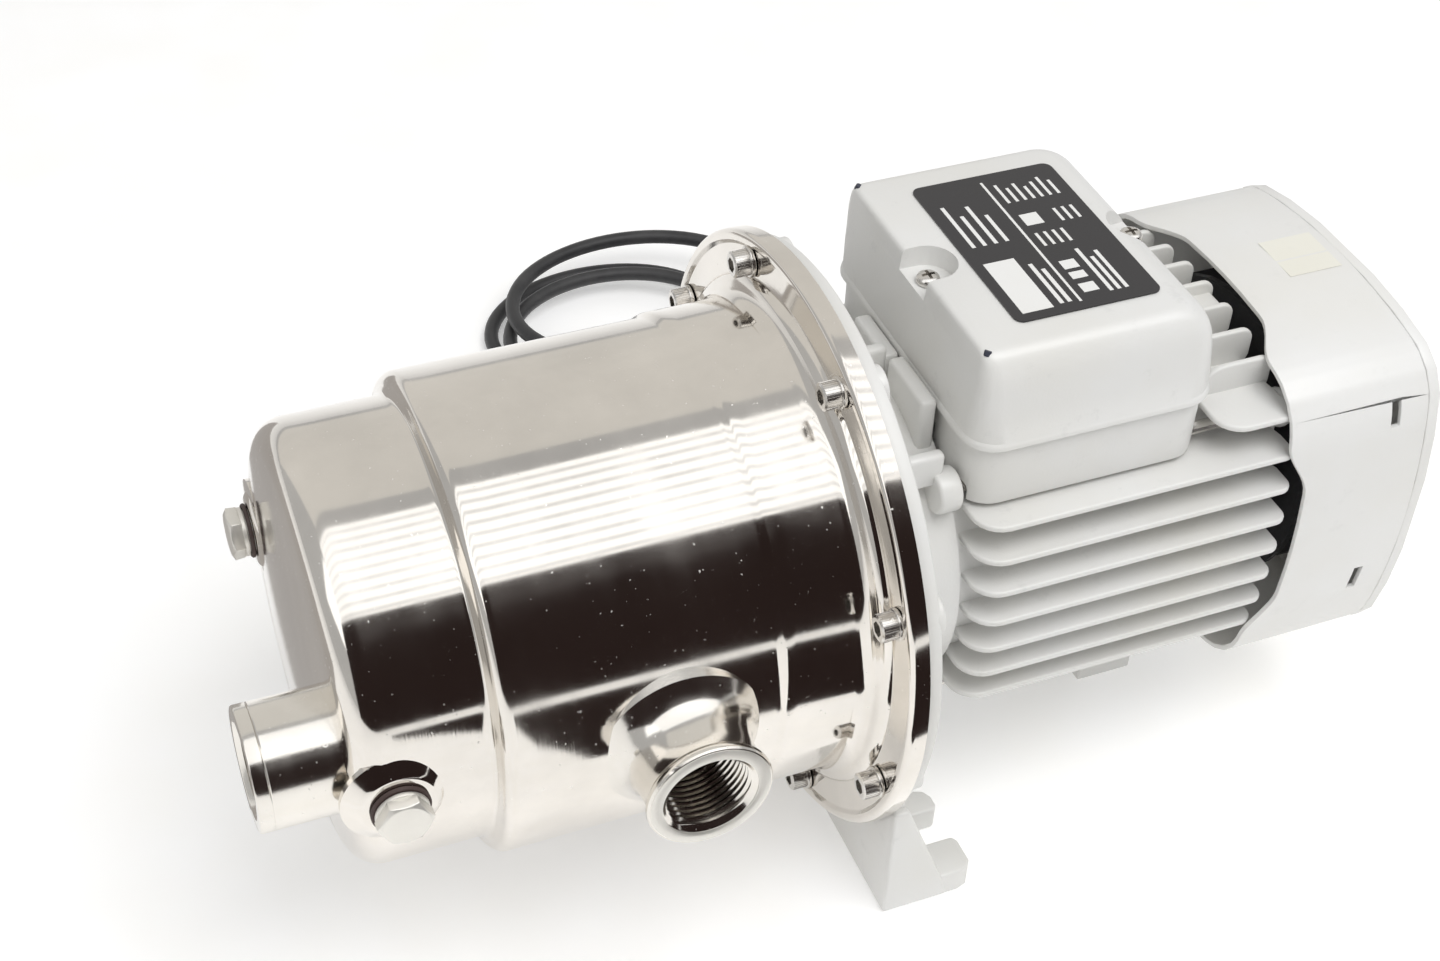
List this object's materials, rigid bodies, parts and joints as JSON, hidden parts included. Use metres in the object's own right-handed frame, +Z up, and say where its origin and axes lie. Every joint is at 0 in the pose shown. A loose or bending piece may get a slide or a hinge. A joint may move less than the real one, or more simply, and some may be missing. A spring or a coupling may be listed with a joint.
{
  "type": "jet pump",
  "caption": "Self-priming shallow well jet pump: pressed stainless casing with side discharge, white finned motor, terminal box and mains lead.",
  "frame": {"origin": "on the surface that the feet stand on, under the middle of the pump's bounding box, mains lead left out", "axes": "+X along the shaft from the suction port to the motor's fan, -Y the way the discharge port points, +Z up"},
  "size_m": [0.446, 0.4601, 0.2297],
  "materials": {
    "stainless": "drawn stainless sheet, bright polished, with fine brushed lines round the drum",
    "screw_steel": "turned stainless and zinc plated steel",
    "dark_steel": "ground steel, lightly oiled",
    "white_paint": "warm white semi-gloss paint over cast aluminium, small chips on edges",
    "grey_plastic": "pale grey moulded plastic, satin",
    "black_plastic": "black moulded plastic",
    "pump_plastic": "black glass-filled plastic",
    "rubber": "black rubber with a soft sheen",
    "fibre": "red-brown vulcanised fibre",
    "carbon": "carbon and rubber of a shaft seal",
    "ceramic": "glazed ceramic",
    "copper": "lacquered copper wire",
    "lamination": "stacked electrical steel sheets",
    "label_black": null
  },
  "bodies": {
    "pump": {"pump_casing": "stainless", "suction_socket": "stainless", "discharge_socket": "stainless", "flange_screw_1": "screw_steel", "flange_screw_2": "screw_steel", "flange_screw_3": "screw_steel", "flange_screw_4": "screw_steel", "flange_screw_5": "screw_steel", "flange_screw_6": "screw_steel", "flange_screw_7": "screw_steel", "flange_screw_8": "screw_steel", "casing_cover": "stainless", "casing_o_ring": "rubber", "ejector_body": "pump_plastic", "jet_nozzle": "pump_plastic", "venturi_tube": "pump_plastic", "diffuser": "pump_plastic", "seal_seat": "ceramic", "motor_bracket": "white_paint", "bracket_foot": "white_paint", "front_bearing": "screw_steel", "rear_bearing": "screw_steel", "wave_washer": "dark_steel", "stator_core": "lamination", "front_winding": "copper", "rear_winding": "copper", "motor_housing": "white_paint", "rear_shield": "white_paint", "tie_rod_1": "screw_steel", "tie_rod_2": "screw_steel", "tie_rod_3": "screw_steel", "tie_rod_4": "screw_steel", "support_foot": "grey_plastic", "fan_cover": "grey_plastic", "fan_grille": "grey_plastic", "terminal_box_base": "white_paint", "terminal_box_gasket": "rubber", "terminal_box_lid": "white_paint", "lid_screw_1": "screw_steel", "lid_screw_2": "screw_steel", "nameplate": "label_black", "terminal_block": "pump_plastic", "run_capacitor": "grey_plastic", "cable_gland": "black_plastic", "strain_relief": "rubber", "power_cord": "rubber", "cord_coil": "rubber", "cord_end": "rubber", "mains_plug": "rubber"},
    "rotor": {"rotor_shaft": "dark_steel", "rotor_core": "lamination", "impeller": "screw_steel", "impeller_nut": "screw_steel", "seal_head": "carbon", "water_slinger": "rubber", "cooling_fan": "black_plastic"},
    "drain_washer_travel": {"drain_washer": "fibre"},
    "drain_plug_thread": {"drain_plug": "screw_steel"},
    "priming_washer_travel": {"priming_washer": "fibre"},
    "priming_plug_thread": {"priming_plug": "screw_steel"}
  },
  "joints": [
    {"name": "rotor_spin", "type": "hinge", "parent": "pump", "child": "rotor", "pos_m": [0, 0, 0.116], "axis": [1, 0, 0], "continuous": true},
    {"name": "drain_plug_travel", "type": "slide", "parent": "pump", "child": "drain_washer_travel", "axis": [-1, 0, 0], "range_m": [0, 0.00802]},
    {"name": "drain_plug_turn", "type": "hinge", "parent": "drain_washer_travel", "child": "drain_plug_thread", "pos_m": [-0.1975, 0.065, 0.116], "axis": [-1, 0, 0], "range_deg": [0, 2160]},
    {"name": "priming_plug_travel", "type": "slide", "parent": "pump", "child": "priming_washer_travel", "axis": [0, -1, 0], "range_m": [0, 0.00802]},
    {"name": "priming_plug_turn", "type": "hinge", "parent": "priming_washer_travel", "child": "priming_plug_thread", "pos_m": [-0.179, -0.085, 0.116], "axis": [0, -1, 0], "range_deg": [0, 2160]}
  ],
  "couplings": [
    {"joint": "drain_plug_travel", "follows": "drain_plug_turn", "m_per_rad": 0.00021279},
    {"joint": "priming_plug_travel", "follows": "priming_plug_turn", "m_per_rad": 0.00021279}
  ]
}
